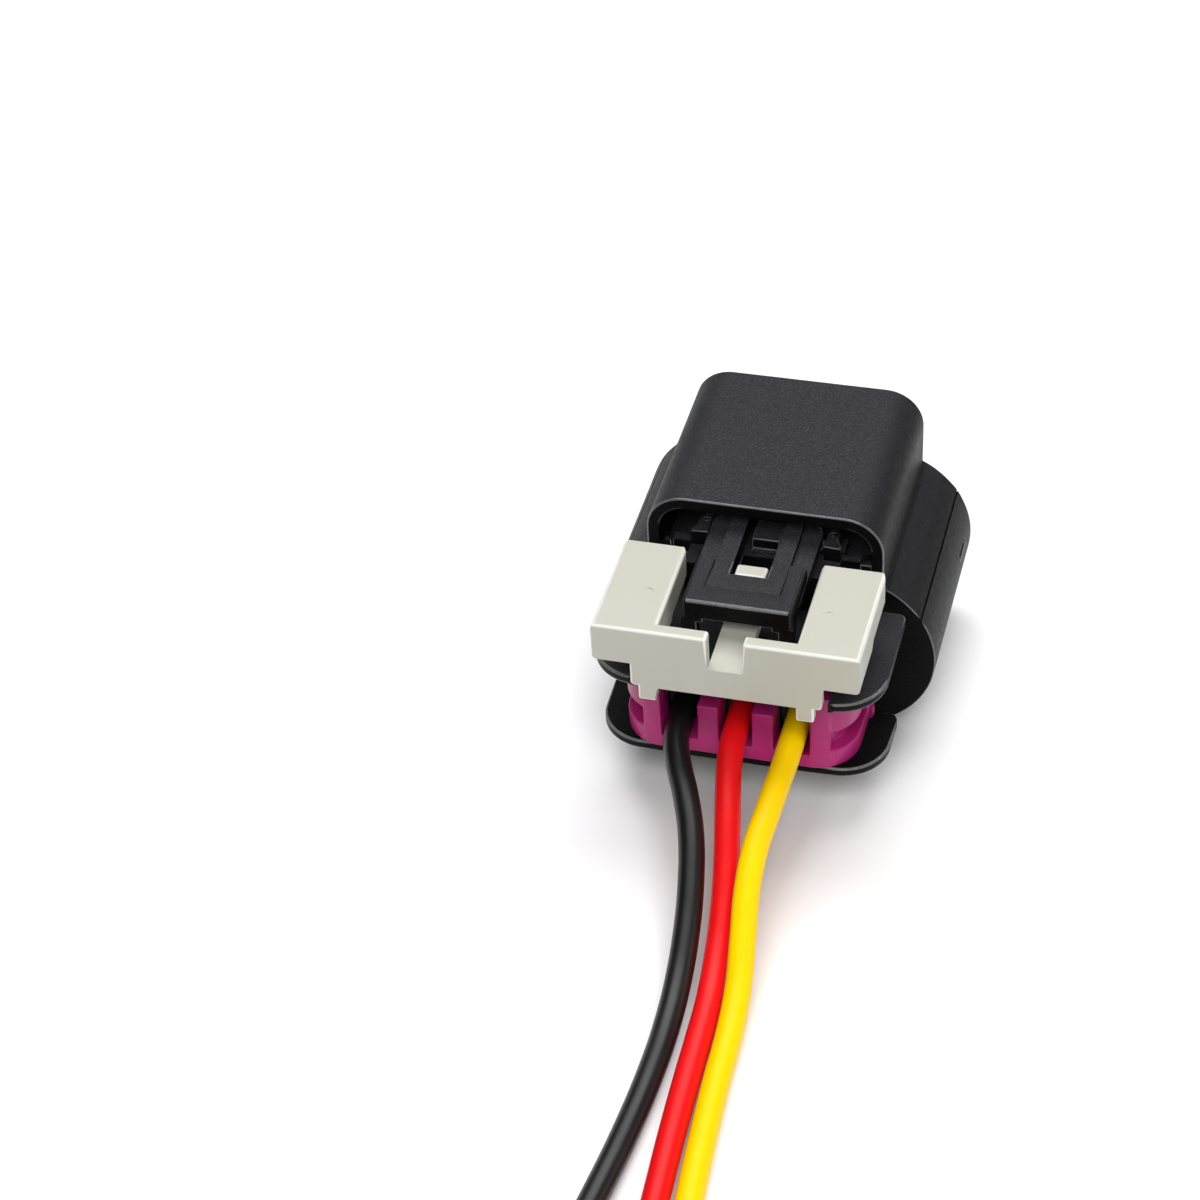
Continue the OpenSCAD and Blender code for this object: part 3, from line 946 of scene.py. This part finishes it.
@dataclass
class Wire:
    """One insulated wire that lies out behind the connector, with its bare core.

    Attributes:
        colour: Word for its colour, as in the node names.
        finish: Finish of the insulation.
        route: Points from the crimp to the free end, in millimetres.
        diameter: Outside diameter.
        core: Diameter of the stranded core.
        bare: Length of core past the insulation.
    """

    colour: str
    finish: Finish
    route: list[tuple[float, float, float]]
    diameter: float = 2.4 * MM
    core: float = 1.2 * MM
    bare: float = 5 * MM

    def points(self) -> list[Vector]:
        """Returns the route in metres."""
        return [Vector(point) * MM for point in self.route]

    def build(self) -> None:
        insulation_tube = self._insulation()
        core_ends = self._core_ends()

    def _insulation(self) -> bpy.types.Object:
        """Makes the insulation as a smooth round curve through the route's points."""
        curve = bpy.data.curves.new(f"wire_{self.colour}_insulation", "CURVE")
        curve.dimensions = "3D"
        curve.resolution_u = 8
        curve.bevel_depth = self.diameter / 2
        curve.bevel_resolution = 8
        curve.use_fill_caps = True
        spline = curve.splines.new("BEZIER")
        points = self.points()
        spline.bezier_points.add(len(points) - 1)
        for knot, point in zip(spline.bezier_points, points):
            knot.co = point
            knot.handle_left_type = knot.handle_right_type = "AUTO"
        tube = bpy.data.objects.new(f"wire_{self.colour}_insulation", curve)
        bpy.context.scene.collection.objects.link(tube)
        curve.materials.append(self.finish.material())
        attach(tube, Body.CONNECTOR.value)
        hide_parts(f"wire_{self.colour}")
        return tube

    def _core_ends(self) -> bpy.types.Object:
        """Makes the twisted strands at both bare ends as one piece."""
        points = self.points()
        strands = StrandBundle(self.core)
        crimp = strands.build(points[0] + Vector((0, 4.2 * MM, 0)), points[0], "crimp")
        way = (points[-1] - points[-2]).normalized()
        tip = strands.build(points[-1] - way * 0.3 * MM, points[-1] + way * self.bare, "tip")
        deselect_all()
        for part in (crimp, tip):
            part.select_set(True)
        bpy.context.view_layer.objects.active = tip
        bpy.ops.object.join()
        piece = bpy.context.view_layer.objects.active
        piece.name = f"conductor_{self.colour}_strands"
        piece.data.materials.clear()
        piece.data.materials.append(BARE_COPPER.material())
        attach(piece, Body.CONNECTOR.value)
        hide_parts(f"conductor_{self.colour}")
        return piece


@dataclass
class StrandBundle:
    """A concentric stranded core: one strand, six round it and twelve round those."""

    diameter: float
    lay_length: float = 9 * MM
    rings: int = 14

    def build(self, start: Vector, end: Vector, name: str) -> bpy.types.Object:
        """Builds a straight length of the bundle.

        Args:
            start: Where it starts.
            end: Where it ends.
            name: Name of the object.

        Returns:
            One mesh object with all the strands.
        """
        strand_r = self.diameter / 10
        way = end - start
        turn = way.to_track_quat("Z", "Y").to_matrix().to_4x4()
        curve = bpy.data.curves.new(name, "CURVE")
        curve.dimensions = "3D"
        curve.resolution_u = 1
        curve.bevel_depth = strand_r * 0.98
        curve.bevel_resolution = 2
        curve.use_fill_caps = True
        for layer, count in ((0, 1), (1, 6), (2, 12)):
            for strand in range(count):
                spline = curve.splines.new("POLY")
                spline.points.add(self.rings - 1)
                for ring, point in enumerate(spline.points):
                    along = way.length * ring / (self.rings - 1)
                    angle = math.tau * (strand / count + along / self.lay_length)
                    radius = layer * strand_r * 2
                    local = Vector((radius * math.cos(angle), radius * math.sin(angle), along))
                    point.co = (*(Matrix.Translation(start) @ turn @ local), 1)
        bundle = bpy.data.objects.new(name, curve)
        bpy.context.scene.collection.objects.link(bundle)
        take(bundle)
        bpy.ops.object.convert(target="MESH")
        bundle = bpy.context.view_layer.objects.active
        bpy.ops.object.shade_smooth_by_angle(angle=math.radians(50))
        return bundle


# ---------- studio ----------


@dataclass
class SoftBox:
    """A rectangular studio light aimed at the connector."""

    name: str
    place: tuple[float, float, float]
    size: tuple[float, float]
    power: float
    target: tuple[float, float, float] = (0, 0, 0.01)

    def build(self) -> None:
        """Hangs the light and turns it towards its target."""
        lamp = bpy.data.lights.new(self.name, "AREA")
        lamp.shape = "RECTANGLE"
        lamp.size, lamp.size_y = self.size
        lamp.energy = self.power
        holder = bpy.data.objects.new(self.name, lamp)
        bpy.context.scene.collection.objects.link(holder)
        holder.location = self.place
        aim = Vector(self.target) - Vector(self.place)
        holder.rotation_euler = aim.to_track_quat("-Z", "Y").to_euler()


@dataclass
class Studio:
    """Camera, pale floor and soft light."""

    eye: tuple[float, float, float] = (0.04963, -0.21656, 0.19960)
    look_down: float = 39.94
    swing: float = 17.05
    roll: float = 3.46
    lens: float = 91.92
    floor_size: float = 6.0
    sky: tuple[float, float, float, float] = (0.55, 0.95, 0.06, 0.7)
    lights: list[SoftBox] = field(
        default_factory=lambda: [
            SoftBox("overhead", (-0.05, 0.3, 0.7), (0.8, 0.5), 6.6),
            SoftBox("front", (0.12, -0.6, 0.72), (0.8, 0.5), 7.2),
            SoftBox("side", (0.8, 0.05, 0.3), (0.5, 0.3), 1.6),
        ]
    )

    def place_camera(self) -> None:
        """Sets the camera at the view's angle."""
        down, swing, roll = (math.radians(a) for a in (self.look_down, self.swing, self.roll))
        forward = Vector(
            (-math.cos(down) * math.sin(swing), math.cos(down) * math.cos(swing), -math.sin(down))
        )
        level = Vector((math.cos(swing), math.sin(swing), 0))
        upright = level.cross(forward)
        right = level * math.cos(roll) - upright * math.sin(roll)
        up = level * math.sin(roll) + upright * math.cos(roll)
        camera = bpy.data.objects.new("camera", bpy.data.cameras.new("camera"))
        bpy.context.scene.collection.objects.link(camera)
        camera.data.sensor_width = 36
        camera.data.lens = self.lens
        camera.data.clip_start = 0.01
        camera.matrix_world = Matrix.Translation(self.eye) @ Matrix(
            (right, up, -forward)
        ).transposed().to_4x4()
        bpy.context.scene.camera = camera

    def lay_floor(self) -> None:
        """Lays the pale floor."""
        deselect_all()
        bpy.ops.mesh.primitive_plane_add(size=self.floor_size, location=(0, 0, 0))
        floor = bpy.context.object
        floor.name = "floor"
        material = bpy.data.materials.new("pale_floor")
        material.use_nodes = True
        shader = principled(material)
        shader.inputs["Base Color"].default_value = (0.86, 0.86, 0.87, 1)
        shader.inputs["Roughness"].default_value = 0.7
        floor.data.materials.append(material)

    def light(self) -> None:
        """Lights the scene from a soft sky and the soft boxes."""
        scene = bpy.context.scene
        scene.view_settings.view_transform = "Standard"
        world = bpy.data.worlds.new("soft_sky")
        world.use_nodes = True
        nodes, links = world.node_tree.nodes, world.node_tree.links
        direction = nodes.new("ShaderNodeTexCoord")
        split = nodes.new("ShaderNodeSeparateXYZ")
        height = nodes.new("ShaderNodeMapRange")
        for socket, value in zip(("From Min", "From Max", "To Min", "To Max"), self.sky):
            height.inputs[socket].default_value = value
        links.new(direction.outputs["Generated"], split.inputs["Vector"])
        links.new(split.outputs["Z"], height.inputs["Value"])
        links.new(height.outputs["Result"], nodes["Background"].inputs["Strength"])
        scene.world = world
        for soft_box in self.lights:
            soft_box.build()


def make_wires() -> list[Wire]:
    """Returns the three wires, with their routes in millimetres."""
    black = [
        (-5.3, -2.45, 9.16), (-5.3, -15.2, 9.16), (-5, -17.4, 9.1), (-4.1, -20, 8.8),
        (-2.8, -22.9, 8.1), (-1.5, -26.4, 6.9), (-0.5, -30.8, 5.2), (0.1, -35.2, 3.5),
        (0.4, -39.8, 2), (0.5, -44.6, 1.3), (0.4, -50, 1.2), (0, -56, 1.2),
        (-0.7, -62.4, 1.2), (-1.7, -69.4, 1.2), (-2.9, -76.4, 1.2), (-4.2, -83.4, 1.2),
        (-5.4, -90.4, 1.2), (-6.5, -97.5, 1.2), (-7.4, -104.6, 1.2), (-8, -111.7, 1.2),
        (-8.3, -118.8, 1.2), (-8.3, -126, 1.2), (-8, -133.1, 1.2), (-7.5, -140.2, 1.2),
        (-6.9, -147.3, 1.2), (-6.3, -154.4, 1.2),
    ]
    red = [
        (0, -2.45, 9.16), (0, -15.8, 9.16), (0.2, -18, 9.05), (0.7, -21, 8.4),
        (1.4, -24.4, 7.2), (2.1, -28, 5.5), (2.7, -32, 3.7), (3.1, -36.2, 2.2),
        (3.4, -40.6, 1.4), (3.5, -45.2, 1.2), (3.6, -50.4, 1.2), (3.8, -56.4, 1.2),
        (4.1, -62.6, 1.2), (4.4, -69.6, 1.2), (4.6, -76.6, 1.2), (4.6, -83.7, 1.2),
        (4.4, -90.8, 1.2), (4, -97.9, 1.2), (3.5, -105, 1.2), (3, -112.1, 1.2),
        (2.6, -119.2, 1.2), (2.4, -126.3, 1.2), (2.5, -133.4, 1.2), (2.8, -140.5, 1.2),
        (3.2, -147.6, 1.2), (3.6, -154.7, 1.2),
    ]
    yellow = [
        (5.3, -2.45, 9.16), (5.3, -15.8, 9.16), (5.3, -18, 9.15), (5.2, -20.6, 9.1),
        (5, -24, 8.6), (4.7, -27.8, 7.6), (4.8, -31.6, 6.1), (5.3, -35.6, 4.2),
        (5.8, -39.8, 2.4), (6, -44.4, 1.4), (6.1, -49.6, 1.2), (6.4, -55.6, 1.2),
        (6.8, -62, 1.2), (7.3, -69, 1.2), (8, -76, 1.2), (8.8, -83, 1.2),
        (9.7, -90, 1.2), (10.6, -97, 1.2), (11.3, -104.1, 1.2), (11.8, -111.2, 1.2),
        (12, -118.3, 1.2), (11.9, -125.5, 1.2), (11.5, -132.6, 1.2), (10.9, -139.7, 1.2),
        (10.2, -146.8, 1.2), (9.5, -153.9, 1.2),
    ]
    return [
        Wire("black", BLACK_PVC, black),
        Wire("red", RED_PVC, red),
        Wire("yellow", YELLOW_PVC, yellow),
    ]


def main() -> None:
    """Builds the studio, the wires and then every piece of the connector."""
    logging.basicConfig(level=logging.INFO, format="%(name)s: %(message)s")
    studio = Studio()
    studio.place_camera()
    for wire in make_wires():
        wire.build()
    Housing().build()
    Latch().build()
    SlideLock().build()
    CombLock().build()
    MouldedPiece(
        "ring_seal", Body.CONNECTOR, SEAL_SILICONE, [EdgeRound(0.15 * MM, 2)]
    ).build()
    for side in Side:
        Circuit(side).build()
    studio.lay_floor()
    studio.light()


if __name__ == "__main__":
    main()
